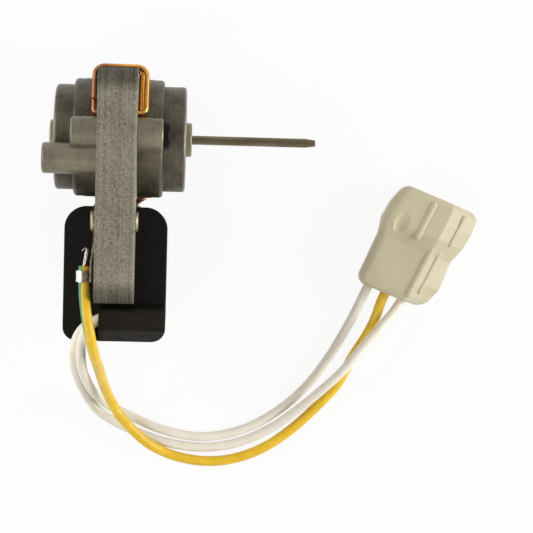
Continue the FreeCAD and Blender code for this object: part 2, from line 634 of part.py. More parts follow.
def rivet(rear_seat):
    """One rivet through a leg; rear_seat is what lies under its rear head."""
    head = [(0, 0), (0, RIVET_HEAD_RADIUS), (RIVET_HEAD_HEIGHT, RIVET_HEAD_RADIUS, RIVET_HEAD_HEIGHT * 0.9),
            (RIVET_HEAD_HEIGHT, 0)]
    front_head = at_front(turned(head))
    rear_head = at_rear(turned(head)).translated(Vector(-rear_seat, 0, 0))
    shank = rod(RIVET_RADIUS, REAR_FACE - rear_seat, FRONT_FACE)
    return front_head.fuse([rear_head, shank])


def leg_rivets():
    """A rivet through each leg; the near one also clamps the earth terminal."""
    z = FRAME_WIDTH / 2 - LEG_WIDTH / 2
    near = rivet(EARTH_SHEET).translated(Vector(0, -RIVET_DROP, z))
    far = rivet(0).translated(Vector(0, -RIVET_DROP, -z))
    return Part.makeCompound([near, far])


def shading_ring(slot_z, slot_y, edge_z, edge_y, side, corner):
    """Two turns of copper wire in and out of the slot, the second turn outside the first at the front."""
    slot, along, across, reach = ring_plane(slot_z, slot_y, edge_z, edge_y)
    across = across * side
    inner = STACK / 2 + RING_GAP + RING_WIRE_RADIUS
    outer = inner + RING_PITCH
    second_reach = reach - 0.3
    turns = [(-inner - 0.5, 1.7, 0), (-inner - 0.3, 0, 0), (inner, 0, 0), (inner, reach, 0),
             (-RING_REAR, reach, 0), (-RING_REAR, 0, RING_PITCH), (outer, 0, RING_PITCH),
             (outer, second_reach, RING_PITCH), (-RING_REAR, second_reach, RING_PITCH),
             (-RING_REAR, reach * 0.25, RING_PITCH * 2)]
    points = [slot + AXIS_X * p + along * q + across * n for p, q, n in turns]
    radii = [0, RING_SLOT_ROUND, RING_SLOT_ROUND, corner * 0.8, corner, RING_SLOT_ROUND,
             RING_SLOT_ROUND * 2, corner, corner, 0]
    return tube(points, radii, RING_WIRE_RADIUS)[0]


def upper_shading_ring():
    return shading_ring(UPPER_SLOT_Z, UPPER_SLOT_Y, UPPER_EDGE_Z, UPPER_EDGE_Y, 1, UPPER_RING_CORNER)


def lower_shading_ring():
    return shading_ring(LOWER_SLOT_Z, LOWER_SLOT_Y, LOWER_EDGE_Z, LOWER_EDGE_Y, -1, LOWER_RING_CORNER)


def earth_terminal():
    """Brass terminal: a round tongue under the rivet, a joggled strip, and a barrel on the insulation."""
    face_x, barrel_x = REAR_FACE, MID_X - EARTH_OFFSET
    leg_z = FRAME_WIDTH / 2 - LEG_WIDTH / 2
    tongue = rod(TONGUE_RADIUS, face_x - EARTH_SHEET, face_x, -RIVET_DROP, leg_z)
    barrel_inner = EARTH_WIRE_RADIUS + CRIMP_CLEARANCE
    strip_x = barrel_x + barrel_inner + EARTH_SHEET / 2
    half_sheet = EARTH_SHEET / 2
    line = [(face_x - half_sheet, -RIVET_DROP), (face_x - half_sheet, -RIVET_DROP - TONGUE_RADIUS - 1.2),
            (strip_x, -CRIMP_TOP + 2.4), (strip_x, -CRIMP_BOTTOM)]
    side_a = [(x - half_sheet, y) for x, y in line]
    side_b = [(x + half_sheet, y) for x, y in reversed(line)]
    strip = plate(side_a + side_b, EARTH_Z - EARTH_STRIP_WIDTH / 2, EARTH_Z + EARTH_STRIP_WIDTH / 2)
    barrel = Part.makeCylinder(barrel_inner + EARTH_SHEET, CRIMP_BOTTOM - CRIMP_TOP,
                               Vector(barrel_x, -CRIMP_BOTTOM, EARTH_Z), Vector(0, 1, 0))
    opening = Part.makeCylinder(barrel_inner, CRIMP_BOTTOM - STUB_TOP + 4,
                                Vector(barrel_x, -CRIMP_BOTTOM - 1, EARTH_Z), Vector(0, 1, 0))
    seam = Part.makeBox(4, CRIMP_BOTTOM, 0.25, Vector(barrel_x - 4, -CRIMP_BOTTOM - 1, EARTH_Z + 0.3))
    hole = rod(RIVET_RADIUS, face_x - 2, face_x + 1, -RIVET_DROP, leg_z)
    return tongue.fuse([strip, barrel]).cut([opening, seam, hole])


def earth_conductor():
    """Bare tinned end of the earth lead above the crimp."""
    x = MID_X - EARTH_OFFSET
    return Part.makeCylinder(CONDUCTOR_RADIUS, STUB_TOP - CONDUCTOR_TOP, Vector(x, -STUB_TOP, EARTH_Z),
                             Vector(0, 1, 0))


def plug_frame(shape):
    """Places a shape from the plug's own frame, where it lies on the floor beside the motor."""
    corner = Vector(PLUG_CORNER_X, PLUG_CORNER_Y, FLOOR)
    placement = FreeCAD.Placement(corner, Rotation(Vector(0, 0, 1), PLUG_TURN))
    return shape.transformed(placement.toMatrix())


def plug_section(v, left, face, right, height, shoulder):
    """One cross-section of the housing: flat face, bevelled right side and a left side that leans in."""
    points = [(left + PLUG_LEAN, 0, 1.2), (right, 0, 0.8), (right, shoulder, PLUG_ROUND),
              (face, height, PLUG_ROUND), (left, height, PLUG_LEFT_ROUND)]
    corners = [(u, v + PLUG_SLANT * u, w) for u, w, _ in points]
    return rounded_path(corners, [radius for _, _, radius in points], closed=True)


def plug_ridge(u, w, v_low, v_high):
    """A half-sunk round ridge with domed ends along the housing."""
    start, end = Vector(u, v_low, w), Vector(u, v_high, w)
    bar = Part.makeCylinder(RIDGE_RADIUS, v_high - v_low, start, Vector(0, 1, 0))
    return bar.fuse([Part.makeSphere(RIDGE_RADIUS, start), Part.makeSphere(RIDGE_RADIUS, end)])


def on_bevel(share, face, height, right, shoulder):
    """The axis of a ridge on the bevel, a share of the way from the face's edge to the shoulder."""
    run, fall = right - face, height - shoulder
    length = math.hypot(run, fall)
    return (face + run * share - RIDGE_SINK * fall / length,
            height - fall * share - RIDGE_SINK * run / length)


def plug_hollow(u, v, w):
    """A shallow oval hollow in the face, as a spindle that dips into it."""
    half_width, half_length = HOLLOW_WIDTH / 2, HOLLOW_LENGTH / 2
    waist = (half_width ** 2 + HOLLOW_DEPTH ** 2) / (2 * HOLLOW_DEPTH)
    lift = waist - HOLLOW_DEPTH
    low, high = Vector(0, -half_length, 0), Vector(0, half_length, 0)
    low_rim, high_rim = Vector(lift, -half_length, 0), Vector(lift, half_length, 0)
    belly = Part.Arc(low_rim, Vector(waist, 0, 0), high_rim).toShape()
    sides = [Part.LineSegment(a, b).toShape() for a, b in ((high_rim, high), (high, low), (low, low_rim))]
    spindle = Part.Face(Part.Wire([belly] + sides)).revolve(Vector(0, 0, 0), Vector(0, 1, 0), 360)
    return spindle.rotated(Vector(0, 0, 0), Vector(1, 0, 0), HOLLOW_TILT).translated(Vector(u, v, w + lift))


def connector_housing():
    """Moulded plug housing: narrow wire end, wider mating end, ridges, three ways and an open socket."""
    low, head = PLUG_HEIGHT, PLUG_HEAD_HEIGHT
    face, right = PLUG_FACE, PLUG_RAIL
    sections = [(0.0, 1.6, face - 0.6, right - 4.4, low - 1.0, 4.2),
                (0.9, 0.0, face - 0.2, right - 2.4, low - 0.2, 4.8),
                (2.6, -1.1, face, right - 0.7, low, 5.0),
                (8.0, -1.3, face, right + 1.0, low, 5.0),
                (18.5, -1.8, face, right, low, 5.0),
                (24.5, -3.4, face + 0.3, right + 1.4, head, 6.4),
                (30.5, -3.1, face + 0.4, right + 1.7, head, 6.4),
                (PLUG_LENGTH - 2.2, -1.9, face + 0.3, right + 1.2, head - 0.2, 6.2),
                (PLUG_LENGTH - 0.8, -0.9, face, right + 0.2, head - 0.8, 5.8),
                (PLUG_LENGTH, 0.2, face - 0.4, right - 1.2, head - 1.7, 5.0)]
    wires = [plug_section(*section) for section in sections]
    body = Part.makeLoft(wires, True, True)
    head_ridge = on_bevel(0.48, face + 0.4, head, right + 1.7, 6.4)
    low_ridge = on_bevel(0.38, face, low, right + 0.5, 5.0)
    body = body.fuse([plug_ridge(10.9, head - RIDGE_SINK, 23.4, PLUG_LENGTH - 2.0),
                      plug_ridge(*head_ridge, 26.6, PLUG_LENGTH - 1.4),
                      plug_ridge(face, low - RIDGE_SINK, 4.2, 23.4),
                      plug_ridge(*low_ridge, 7.0, 23.4)])
    socket_floor = PLUG_LENGTH - SOCKET_DEPTH
    socket_left, socket_right, socket_top = SOCKET_WALL, face + 2.5, head - SOCKET_WALL - 1.5
    socket_points = [(socket_left, SOCKET_WALL - 0.4, 1.2), (socket_right, SOCKET_WALL - 0.4, 1.2),
                     (socket_right, socket_top - 3.2, 0.8), (socket_right - 2.3, socket_top, 0.8),
                     (socket_left, socket_top, 1.2)]
    socket = outline(socket_points, lambda u, w: (u, socket_floor, w)).extrude(Vector(0, SOCKET_DEPTH + 4, 0))
    cuts = [plug_hollow(3.8, 25.0, head - 0.35), socket]
    for way, wire_radius in enumerate((LEAD_RADIUS, EARTH_WIRE_RADIUS, LEAD_RADIUS)):
        start = Vector(WAY_FIRST + way * WAY_PITCH, -1, WAY_HEIGHT)
        cuts.append(Part.makeCylinder(max(wire_radius, CONTACT_RADIUS) + WAY_CLEARANCE, socket_floor + 2,
                                      start, Vector(0, 1, 0)))
    return plug_frame(body.cut(cuts))


def connector_contacts():
    """Three crimped contacts, each a barrel in its way and a pin that stands in the socket."""
    contacts = []
    socket_floor = PLUG_LENGTH - SOCKET_DEPTH
    for way in range(3):
        at = Vector(WAY_FIRST + way * WAY_PITCH, CONTACT_START, WAY_HEIGHT)
        barrel = Part.makeCylinder(CONTACT_RADIUS, socket_floor - CONTACT_START, at, Vector(0, 1, 0))
        root = at + Vector(0, socket_floor - CONTACT_START, 0)
        pin = Part.makeCylinder(PIN_RADIUS, PIN_LENGTH, root, Vector(0, 1, 0))
        end = root + Vector(0, PIN_LENGTH, 0)
        tip = Part.makeCone(PIN_RADIUS, PIN_RADIUS * 0.5, 1.0, end, Vector(0, 1, 0))
        contacts.append(plug_frame(barrel.fuse([pin, tip])))
    return Part.makeCompound(contacts)


def way_point(way, v):
    """A point on the axis of one of the plug's ways."""
    angle = math.radians(PLUG_TURN)
    u = WAY_FIRST + way * WAY_PITCH
    return (PLUG_CORNER_X + u * math.cos(angle) - v * math.sin(angle),
            PLUG_CORNER_Y + u * math.sin(angle) + v * math.cos(angle), FLOOR + WAY_HEIGHT)


def cord(name, points, radius):
    """A lead along a route, each corner as round as its two runs allow."""
    radii = [0]
    for before, here, after in zip(points, points[1:], points[2:]):
        back, ahead = Vector(*before) - Vector(*here), Vector(*after) - Vector(*here)
        half_turn = (math.pi - back.getAngle(ahead)) / 2
        radii.append(0.45 * min(back.Length, ahead.Length) / math.tan(half_turn))
    shape, path = tube(points, radii + [0], radius)
    expected = math.pi * radius ** 2 * path.Length
    print(f"{name}: {path.Length:.1f} mm long, volume ratio {shape.Volume / expected:.4f}, radii",
          " ".join(f"{value:.1f}" for value in radii[1:]))
    return shape


def white_lead(name, height, route, way, entry):
    """A white lead from the cover's socket to the contact in its way."""
    exit_point, direction = lead_way()
    lift = Vector(0, 0, height)
    start = exit_point - direction * LEAD_SOCKET + lift
    outside = exit_point + direction * LEAD_RADIUS + lift
    points = [tuple(start), tuple(outside)] + route + [way_point(way, entry), way_point(way, CONTACT_START)]
    return cord(name, points, LEAD_RADIUS)


def lead_wire_left():
    return white_lead("lead_wire_left", lead_heights()[1], LEFT_LEAD_ROUTE, 0, -1.5)


def lead_wire_right():
    return white_lead("lead_wire_right", lead_heights()[0], RIGHT_LEAD_ROUTE, 2, -1.0)


def earth_wire():
    """The earth lead, from its bared end above the terminal to the middle way of the plug."""
    start = (MID_X - EARTH_OFFSET, -STUB_TOP, EARTH_Z)
    points = [start] + EARTH_ROUTE + [way_point(1, -2.0), way_point(1, CONTACT_START)]
    return cord("earth_wire", points, EARTH_WIRE_RADIUS)


NODES = {
    "stator_core": stator_core,
    "coil_core": coil_core,
    "bobbin": bobbin,
    "winding": winding,
    "coil_tape": coil_tape,
    "lead_cover": lead_cover,
    "front_bracket": front_bracket,
    "rear_bracket": rear_bracket,
    "front_bearing": lambda: at_front(bearing()),
    "rear_bearing": lambda: in_rear_hub(bearing()),
    "front_oil_felt": lambda: at_front(oil_felt()),
    "rear_oil_felt": lambda: in_rear_hub(oil_felt()),
    "front_bearing_retainer": lambda: at_front(bearing_retainer()),
    "rear_bearing_retainer": lambda: in_rear_hub(bearing_retainer()),
    "front_thrust_washer": lambda: at_front(thrust_washer()),
    "rear_thrust_washer": lambda: in_rear_hub(thrust_washer()),
    "front_rotor_spacer": lambda: at_front(rotor_spacer()),
    "rear_rotor_spacer": lambda: at_rear(rotor_spacer(REAR_SHORTENING)),
    "shaft": shaft,
    "rotor_stack": rotor_stack,
    "rotor_cage": rotor_cage,
    "assembly_screws": assembly_screws,
    "leg_rivets": leg_rivets,
    "upper_shading_ring": upper_shading_ring,
    "lower_shading_ring": lower_shading_ring,
    "earth_terminal": earth_terminal,
    "earth_conductor": earth_conductor,
    "connector_housing": connector_housing,
    "connector_contacts": connector_contacts,
    "lead_wire_left": lead_wire_left,
    "lead_wire_right": lead_wire_right,
    "earth_wire": earth_wire,
}


def export_all():
    os.makedirs("parts", exist_ok=True)
    for name, make in NODES.items():
        shape = make()
        if not shape.isValid():
            print(name, "is not a valid shape")
        shape.exportStep(f"parts/{name}.step")
        box = shape.BoundBox
        print(f"{name}: {len(shape.Solids)} solid, {shape.Volume:.1f} mm3, "
              f"x {box.XMin:.2f} {box.XMax:.2f}, y {box.YMin:.2f} {box.YMax:.2f}, "
              f"z {box.ZMin:.2f} {box.ZMax:.2f}")


export_all()
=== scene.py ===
import math

import bmesh
import bpy
from mathutils import Matrix, Vector


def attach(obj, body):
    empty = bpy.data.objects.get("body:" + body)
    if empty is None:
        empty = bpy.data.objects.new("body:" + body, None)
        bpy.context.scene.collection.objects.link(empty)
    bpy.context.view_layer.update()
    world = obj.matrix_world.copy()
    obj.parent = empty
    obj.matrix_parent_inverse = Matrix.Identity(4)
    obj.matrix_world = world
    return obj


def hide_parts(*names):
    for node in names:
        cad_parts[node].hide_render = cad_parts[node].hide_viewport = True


# A shaded-pole fan motor lying on its side on a pale table, with its three leads and their plug.
# Every length below is in millimetres unless its comment says otherwise, and MM turns it to metres.
MM = 0.001
FLOOR_Z = -30.0

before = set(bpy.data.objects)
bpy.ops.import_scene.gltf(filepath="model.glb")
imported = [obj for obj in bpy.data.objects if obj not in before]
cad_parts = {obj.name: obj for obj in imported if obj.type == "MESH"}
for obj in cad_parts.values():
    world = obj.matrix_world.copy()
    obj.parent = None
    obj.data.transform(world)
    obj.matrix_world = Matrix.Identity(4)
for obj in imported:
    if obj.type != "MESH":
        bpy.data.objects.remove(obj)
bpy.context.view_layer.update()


def add_object(name, data):
    """Puts a new object in the scene, at the origin."""
    made = bpy.data.objects.new(name, data)
    bpy.context.collection.objects.link(made)
    return made


# ---- Camera ----

CAMERA_LENS = 117.2
CAMERA_SENSOR = 36.0
CAMERA_PLACE = (-6.44, -0.62, 580.0)
CAMERA_AIM = (26.08, -41.58, 0.0)
# Degrees
CAMERA_ROLL = 1.6
# Metres
CAMERA_NEAR = 0.01
CAMERA_FAR = 20.0


def place_camera():
    """A long lens almost straight above the motor, with the shaft running slightly down to the right."""
    place = Vector(CAMERA_PLACE) * MM
    aim = Vector(CAMERA_AIM) * MM
    ahead = (aim - place).normalized()
    level = ahead.cross(Vector((0, 1, 0))).normalized()
    upright = level.cross(ahead)
    roll = math.radians(CAMERA_ROLL)
    right = level * math.cos(roll) + upright * math.sin(roll)
    up = upright * math.cos(roll) - level * math.sin(roll)
    data = bpy.data.cameras.new("camera")
    data.lens = CAMERA_LENS
    data.sensor_width = CAMERA_SENSOR
    data.clip_start = CAMERA_NEAR
    data.clip_end = CAMERA_FAR
    camera = add_object("camera", data)
    turn = Matrix((right, up, -ahead)).transposed().to_4x4()
    camera.matrix_world = Matrix.Translation(place) @ turn
    bpy.context.scene.camera = camera


place_camera()


# ---- Leads ----

WHITE_DIAMETER = 3.2
EARTH_DIAMETER = 3.5
LEAD_SIDES = 28
# The smooth routes: their spline's order, and the steps drawn from one point to the next
ROUTE_ORDER = 3
ROUTE_STEPS = 16

# Each lead's route, from inside the motor, round over the table and into the plug.
LEFT_LEAD = [
    (-25.22, -56.91, 21.1), (-30.30, -59.28, 21.1), (-33.0, -61.9, 21.2),
    (-34.4, -66.6, 21.0), (-34.5, -72.6, 17.0), (-34.3, -77.0, 7.6),
    (-33.9, -80.8, -3.4), (-32.7, -85.8, -14.6), (-30.6, -90.2, -24.0),
    (-26.6, -94.0, -28.35), (-18.9, -97.6, -28.35), (-8.4, -102.2, -28.35),
    (3.0, -104.7, -28.35), (13.6, -104.0, -28.35), (24.1, -100.5, -28.35),
    (34.2, -94.1, -28.35), (42.9, -86.2, -28.35), (50.4, -75.9, -28.35),
    (55.5, -66.6, -27.75), (59.4, -58.6, -26.4), (62.47, -50.81, -24.4),
    (65.75, -44.07, -24.4),
]
RIGHT_LEAD = [
    (-25.22, -56.91, 17.5), (-30.30, -59.28, 17.5), (-34.1, -61.6, 17.8),
    (-36.4, -65.9, 18.0), (-37.0, -71.2, 14.4), (-37.2, -75.2, 6.0),
    (-37.1, -79.2, -5.0), (-36.2, -84.6, -16.0), (-34.2, -90.4, -25.0),
    (-30.4, -96.2, -28.35), (-23.6, -100.2, -28.35), (-14.2, -104.2, -28.35),
    (-4.7, -107.3, -28.35), (7.3, -108.6, -28.35), (19.3, -106.7, -28.35),
    (30.5, -101.3, -27.75), (39.7, -94.0, -25.5), (48.0, -86.1, -22.2),
    (55.1, -79.2, -20.9), (60.8, -71.5, -20.9), (67.4, -64.1, -22.0),
    (74.37, -56.06, -24.4), (77.44, -49.77, -24.4),
]
EARTH_LEAD = [
    (-33.75, -41.2, 23.5), (-33.75, -48.4, 23.5), (-32.7, -56.0, 27.4),
    (-31.3, -62.6, 27.8), (-30.3, -68.4, 24.2), (-29.5, -72.7, 17.0),
    (-28.9, -76.6, 6.0), (-28.0, -83.0, -7.0), (-26.4, -89.1, -17.0),
    (-23.3, -95.3, -21.2), (-18.6, -100.9, -21.8), (-11.8, -107.5, -25.6),
    (-2.5, -111.9, -28.2), (8.5, -113.5, -28.2), (19.4, -112.0, -28.2),
    (30.0, -107.4, -28.2), (39.7, -100.0, -28.2), (48.2, -91.5, -28.2),
    (54.7, -84.3, -28.2), (58.7, -75.0, -28.2), (63.2, -68.2, -27.9),
    (66.6, -60.8, -26.4), (68.09, -54.11, -24.4), (71.60, -46.92, -24.4),
]


def route_curve(name, route):
    """One smooth spline that a lead follows, with the route's points as its control points."""
    curve = bpy.data.curves.new(name, "CURVE")
    curve.dimensions = "3D"
    curve.resolution_u = ROUTE_STEPS
    spline = curve.splines.new("NURBS")
    spline.points.add(len(route) - 1)
    for point, place in zip(spline.points, route):
        point.co = (*(Vector(place) * MM), 1.0)
    spline.order_u = ROUTE_ORDER
    spline.use_endpoint_u = True
    return curve


def route_line(route):
    """Points along the route's smooth spline."""
    holder = bpy.data.objects.new("route", route_curve("route", route))
    line = bpy.data.meshes.new_from_object(holder)
    places = [vertex.co.copy() for vertex in line.vertices]
    bpy.data.objects.remove(holder)
    bpy.data.meshes.remove(line)
    return places


def ring_stance(place, tangent, side, angle):
    """Where one ring of a tube stands, square to the tube, with its start turned from side by the angle."""
    turned = Matrix.Rotation(angle, 3, tangent) @ side
    turn = Matrix((turned, tangent.cross(turned), tangent)).transposed().to_4x4()
    return Matrix.Translation(place) @ turn


def sweep(shape, places, radius, sides, first_side, twist=None):
    """Adds a round tube with closed ends along the places. Its map has U round it and V along it.

    U starts on first_side, and twist turns it by an angle for each share of the tube's length.
    """
    around = shape.verts.layers.int.get("around") or shape.verts.layers.int.new("around")
    along = shape.verts.layers.float.get("along") or shape.verts.layers.float.new("along")
    uv = shape.loops.layers.uv.get("UVMap") or shape.loops.layers.uv.new("UVMap")
    steps = [(b - a).length for a, b in zip(places, places[1:])]
    total = sum(steps)
    tangent = (places[1] - places[0]).normalized()
    side = (first_side - tangent * first_side.dot(tangent)).normalized()
    old = ring_stance(places[0], tangent, side, twist(0.0) if twist else 0.0)
    ring = bmesh.ops.create_circle(shape, segments=sides, radius=radius, matrix=Matrix.Identity(4))["verts"]
    for vertex in ring:
        angle = math.atan2(vertex.co.y, vertex.co.x) % math.tau
        vertex[around] = round(angle / math.tau * sides) % sides
    bmesh.ops.transform(shape, matrix=old, verts=ring)
    edges = [edge for edge in shape.edges if edge.verts[0] in ring and edge.verts[1] in ring]
    start_edges = edges
    faces = []
    gone = 0.0
    for number, place in enumerate(places[1:], 1):
        gone += steps[number - 1]
        ahead = (places[min(number + 1, len(places) - 1)] - places[number - 1]).normalized()
        side = tangent.rotation_difference(ahead) @ side
        tangent = ahead
        new = ring_stance(place, tangent, side, twist(gone / total) if twist else 0.0)
        grown = bmesh.ops.extrude_edge_only(shape, edges=edges)["geom"]
        verts = [part for part in grown if isinstance(part, bmesh.types.BMVert)]
        edges = [part for part in grown if isinstance(part, bmesh.types.BMEdge)]
        faces += [part for part in grown if isinstance(part, bmesh.types.BMFace)]
        bmesh.ops.transform(shape, matrix=new @ old.inverted(), verts=verts)
        for vertex in verts:
            vertex[along] = gone
        old = new
    for face in faces:
        face.smooth = True
        wraps = {loop.vert[around] for loop in face.loops} == {0, sides - 1}
        for loop in face.loops:
            step = sides if wraps and loop.vert[around] == 0 else loop.vert[around]
            loop[uv].uv = (step / sides, loop.vert[along])
    bmesh.ops.holes_fill(shape, edges=start_edges + edges, sides=sides)


def finish_mesh(name, shape):
    """Turns a shape into a piece whose faces point outwards."""
    bmesh.ops.recalc_face_normals(shape, faces=shape.faces)
    mesh = bpy.data.meshes.new(name)
    shape.to_mesh(mesh)
    shape.free()
    return add_object(name, mesh)


# The earth lead's stripe: the side that it starts on, and its roll over the first share of the lead.
STRIPE_SIDE = Vector((-0.83, 0.0, 0.56))
STRIPE_ROLL = math.radians(100)
STRIPE_ROLLED = 0.34


def stripe_twist(share):
    """The stripe starts on the lead's left side and rolls under it before the lead reaches the table."""
    return STRIPE_ROLL * math.sin(math.pi / 2 * min(share / STRIPE_ROLLED, 1.0))


def insulated_lead(name, node, route, diameter, twist=None):
    """A round insulated lead from the motor to its way in the plug."""
    line = route_line(route)
    shape = bmesh.new()
    sweep(shape, line, diameter * MM / 2, LEAD_SIDES, STRIPE_SIDE, twist)
    lead = finish_mesh(name, shape)
    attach(lead, "stator")
    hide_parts(node)


insulated_lead("white_left_lead", "lead_wire_left", LEFT_LEAD,
               WHITE_DIAMETER)
insulated_lead("white_right_lead", "lead_wire_right", RIGHT_LEAD,
               WHITE_DIAMETER)
insulated_lead("earth_lead", "earth_wire", EARTH_LEAD,
               EARTH_DIAMETER, stripe_twist)


# ---- Table, surround and lamps ----

def colour(code):
    """An sRGB hex colour as a linear one."""
    parts = [int(code[i:i + 2], 16) / 255 for i in (1, 3, 5)]
    return (*(part / 12.92 if part <= 0.04045 else ((part + 0.055) / 1.055) ** 2.4 for part in parts), 1.0)


def add_node(tree, kind, values=None, links=None, **settings):
    """Adds a node with its settings, the values of its free sockets, and links to its other ones."""
    made = tree.nodes.new("ShaderNode" + kind)
    for name, value in settings.items():
        setattr(made, name, value)
    for socket, value in (values or {}).items():
        made.inputs[socket].default_value = value
    for socket, source in (links or {}).items():
        tree.links.new(source, made.inputs[socket])
    return made


# Metres
TABLE_REACH = 4.0
TABLE_COLOUR = "#f2f1ee"
# The share of plain white in the table's look, over its own colour and shadows
BACKDROP_SHARE = 0.90

# The surround's light on the pieces, its share straight above, and the heights between which it dims
WORLD_LIGHT = 0.45
WORLD_OVERHEAD = 0.62
WORLD_DIMS_FROM = 0.35
WORLD_DIMS_TO = 0.80

# Each lamp's name, its place, its width and height in metres, and its power in watts
LAMPS = (("left_lamp", (-760, 160, 330), 0.70, 0.45, 4.2),
         ("right_lamp", (820, -40, 340), 0.70, 0.45, 6.9),
         ("high_lamp", (-430, -420, 760), 0.50, 0.50, 2.0))
LAMP_AIM = (10.0, -40.0, 0.0)


def seen_share(tree):
    """1 where a ray comes from the camera, a gloss or a clear piece, and 0 where it only carries light."""
    path = add_node(tree, "LightPath")
    gloss = add_node(tree, "Math", operation="MAXIMUM",
                     links={0: path.outputs["Is Camera Ray"], 1: path.outputs["Is Glossy Ray"]})
    return add_node(tree, "Math", operation="MAXIMUM",
                    links={0: gloss.outputs[0], 1: path.outputs["Is Transmission Ray"]}).outputs[0]


def make_table():
    """A pale table top that reads as white and keeps a soft shadow under the motor."""
    shape = bmesh.new()
    place = Matrix.Translation((0, 0, FLOOR_Z * MM))
    bmesh.ops.create_grid(shape, x_segments=1, y_segments=1, size=TABLE_REACH, matrix=place)
    table = finish_mesh("table_top", shape)
    material = bpy.data.materials.new("matt_table_paper")
    material.use_nodes = True
    tree = material.node_tree
    tree.nodes.clear()
    paper = add_node(tree, "BsdfDiffuse", {"Color": colour(TABLE_COLOUR)})
    white = add_node(tree, "Emission", {"Strength": 1.0})
    share = add_node(tree, "Math", {1: BACKDROP_SHARE}, {0: seen_share(tree)}, operation="MULTIPLY")
    mixed = add_node(tree, "MixShader",
                     links={0: share.outputs[0], 1: paper.outputs[0], 2: white.outputs[0]})
    add_node(tree, "OutputMaterial", links={"Surface": mixed.outputs[0]})
    table.data.materials.append(material)


def make_world():
    """A surround that is white at the horizon and dimmer overhead: flat faces stay calm and edges shine."""
    world = bpy.data.worlds.new("studio")
    bpy.context.scene.world = world
    world.use_nodes = True
    tree = world.node_tree
    tree.nodes.clear()
    path = add_node(tree, "LightPath")
    where = add_node(tree, "TexCoord")
    axes = add_node(tree, "SeparateXYZ", links={0: where.outputs["Generated"]})
    height = add_node(tree, "MapRange",
                      {"From Min": WORLD_DIMS_FROM, "From Max": WORLD_DIMS_TO,
                       "To Min": 1.0, "To Max": WORLD_OVERHEAD},
                      {"Value": axes.outputs["Z"]})
    open_sky = add_node(tree, "Math", operation="MAXIMUM",
                        links={0: height.outputs[0], 1: path.outputs["Is Camera Ray"]})
    level = add_node(tree, "MapRange", {"To Min": WORLD_LIGHT, "To Max": 1.0}, {"Value": seen_share(tree)})
    strength = add_node(tree, "Math", operation="MULTIPLY",
                        links={0: open_sky.outputs[0], 1: level.outputs[0]})
    background = add_node(tree, "Background", {"Color": (1, 1, 1, 1)}, {"Strength": strength.outputs[0]})
    add_node(tree, "OutputWorld", links={"Surface": background.outputs[0]})


def make_lamps():
    """Three soft boxes: one low on each side, and a high one on the left below the picture."""
    for name, place, width, height, watts in LAMPS:
        data = bpy.data.lights.new(name, "AREA")
        data.shape = "RECTANGLE"
        data.size = width
        data.size_y = height
        data.energy = watts
        lamp = add_object(name, data)
        ahead = (Vector(LAMP_AIM) - Vector(place)).normalized()
        lamp.rotation_euler = ahead.to_track_quat("-Z", "Y").to_euler()
        lamp.location = Vector(place) * MM


make_table()
make_world()
make_lamps()
bpy.context.scene.view_settings.view_transform = "Standard"


# ---- Materials ----

# A colour mix's sockets, by number: its share, its two colours, and the colour that it gives
MIX_SHARE = 0
MIX_A = 6
MIX_B = 7
MIX_RESULT = 2


# How much white gloss a surface gives: most materials, and the blacks that show next to none
PLAIN_GLOSS = 0.5
DULL_GLOSS = 0.1


def new_finish(name, metallic=0.0, gloss=PLAIN_GLOSS):
    """A material with its shader's constants set, and the place in millimetres that its patterns read."""
    material = bpy.data.materials.new(name)
    material.use_nodes = True
    tree = material.node_tree
    shader = tree.nodes["Principled BSDF"]
    shader.inputs["Metallic"].default_value = metallic
    shader.inputs["Specular IOR Level"].default_value = gloss
    where = add_node(tree, "TexCoord")
    place = add_node(tree, "Mapping", {"Scale": (1 / MM, 1 / MM, 1 / MM)},
                     {"Vector": where.outputs["Object"]})
    return material, tree, shader, place.outputs["Vector"]


def grain(tree, place, size, detail=3.0):
    """Noise about 0.5 whose grains have the given size in millimetres along X, Y and Z."""
    scaled = add_node(tree, "Mapping", {"Scale": [1 / length for length in size]}, {"Vector": place})
    noise = add_node(tree, "TexNoise", {"Scale": 1.0, "Detail": detail},
                     {"Vector": scaled.outputs["Vector"]})
    return noise.outputs["Fac"]


def weigh(tree, *patterns):
    """The sum of patterns, each with its weight."""
    total = None
    for pattern, weight in patterns:
        part = add_node(tree, "Math", {1: weight}, {0: pattern}, operation="MULTIPLY").outputs[0]
        if total is None:
            total = part
        else:
            total = add_node(tree, "Math", operation="ADD", links={0: total, 1: part}).outputs[0]
    return total


def dress(tree, shader, pattern, dark, pale, matt, relief=None, reach=(0.35, 0.65)):
    """Lets a pattern turn the colour from dark to pale and the roughness from matt[0] to matt[1].

    It does so as it rises from reach[0] to reach[1]. It also raises the relief, in millimetres.
    """
    share = add_node(tree, "MapRange", {"From Min": reach[0], "From Max": reach[1]}, {"Value": pattern})
    tint = add_node(tree, "Mix", {MIX_A: colour(dark), MIX_B: colour(pale)},
                    {MIX_SHARE: share.outputs[0]}, data_type="RGBA")
    tree.links.new(tint.outputs[MIX_RESULT], shader.inputs["Base Color"])
    rough = add_node(tree, "MapRange", {"To Min": matt[0], "To Max": matt[1]}, {"Value": share.outputs[0]})
    tree.links.new(rough.outputs[0], shader.inputs["Roughness"])
    if relief:
        bump = add_node(tree, "Bump", {"Strength": 1.0, "Distance": relief * MM}, {"Height": pattern})
        tree.links.new(bump.outputs[0], shader.inputs["Normal"])
    return tint.outputs[MIX_RESULT]


# The sheets along X: their thickness as drawn, the shift that puts a sheet's edge on the stack's face, and
# the share of each that its burr takes
SHEET = 0.62
SHEET_START = 30.59
SHEET_BURR = 0.16
# Where the last sheet begins, whose burr is painted paler as a painted highlight where it catches the
# light, and the width of its soft edge
LAST_SHEET = -18.25
LAST_SHEET_EDGE = 0.12
